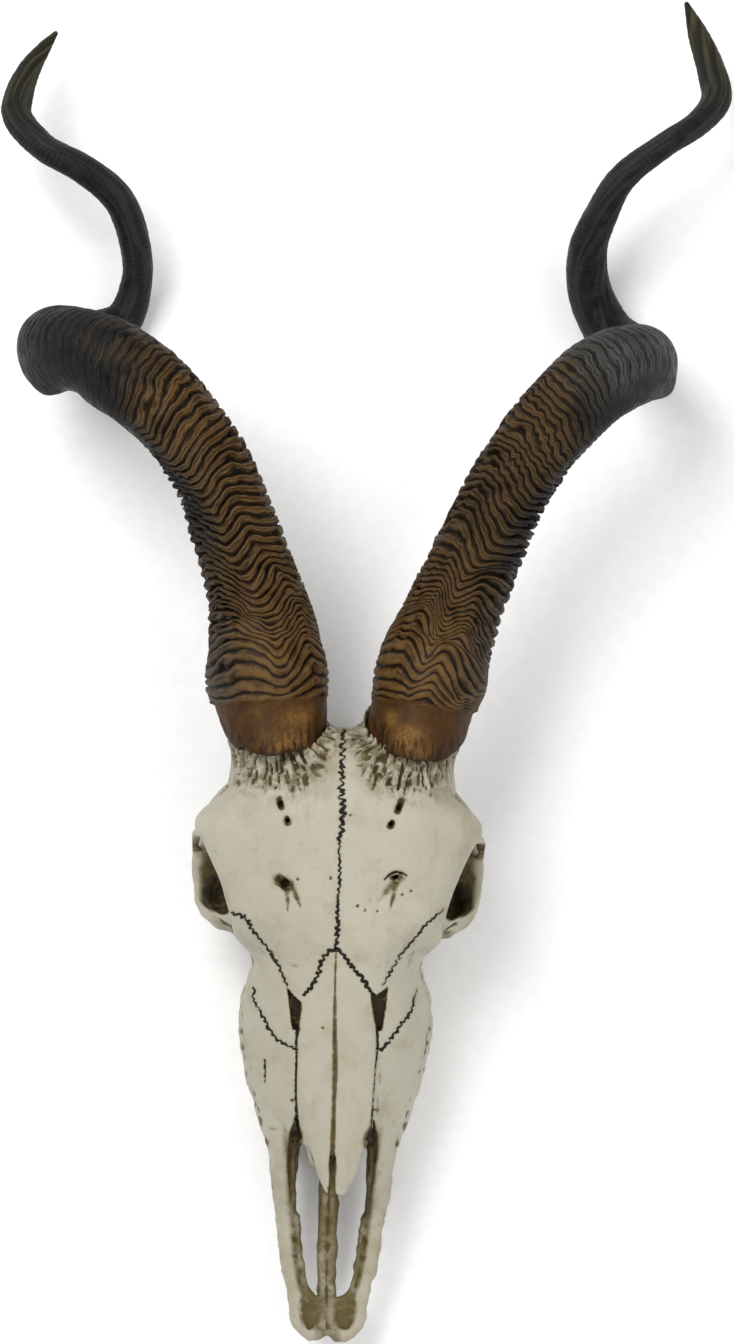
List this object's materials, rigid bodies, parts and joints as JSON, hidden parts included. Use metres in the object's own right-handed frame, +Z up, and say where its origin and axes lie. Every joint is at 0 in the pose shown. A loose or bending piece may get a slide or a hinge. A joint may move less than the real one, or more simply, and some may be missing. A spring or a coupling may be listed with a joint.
{
  "type": "kudu skull",
  "caption": "Greater kudu bull skull without lower jaw, with ringed spiral horns and upper cheek teeth, lying face up.",
  "frame": {"origin": "middle of the bounding box on the ground, with the skull lying face up on its cheek teeth and the backs of its horns", "axes": "+Y from the muzzle to the horn tips, +X to the right as one looks down on the face with the horns away, +Z up"},
  "size_m": [0.4382, 0.8082, 0.1422],
  "materials": {
    "bone": "dry matte bone with brown stains",
    "horn": "satin keratin, brown to black",
    "tooth": "half-glossy stained enamel"
  },
  "bodies": {
    "root": {"skull": "bone", "horn_left": "horn", "horn_right": "horn", "premolar_2_left": "tooth", "premolar_3_left": "tooth", "premolar_4_left": "tooth", "molar_1_left": "tooth", "molar_2_left": "tooth", "molar_3_left": "tooth", "premolar_2_right": "tooth", "premolar_3_right": "tooth", "premolar_4_right": "tooth", "molar_1_right": "tooth", "molar_2_right": "tooth", "molar_3_right": "tooth"}
  },
  "joints": []
}
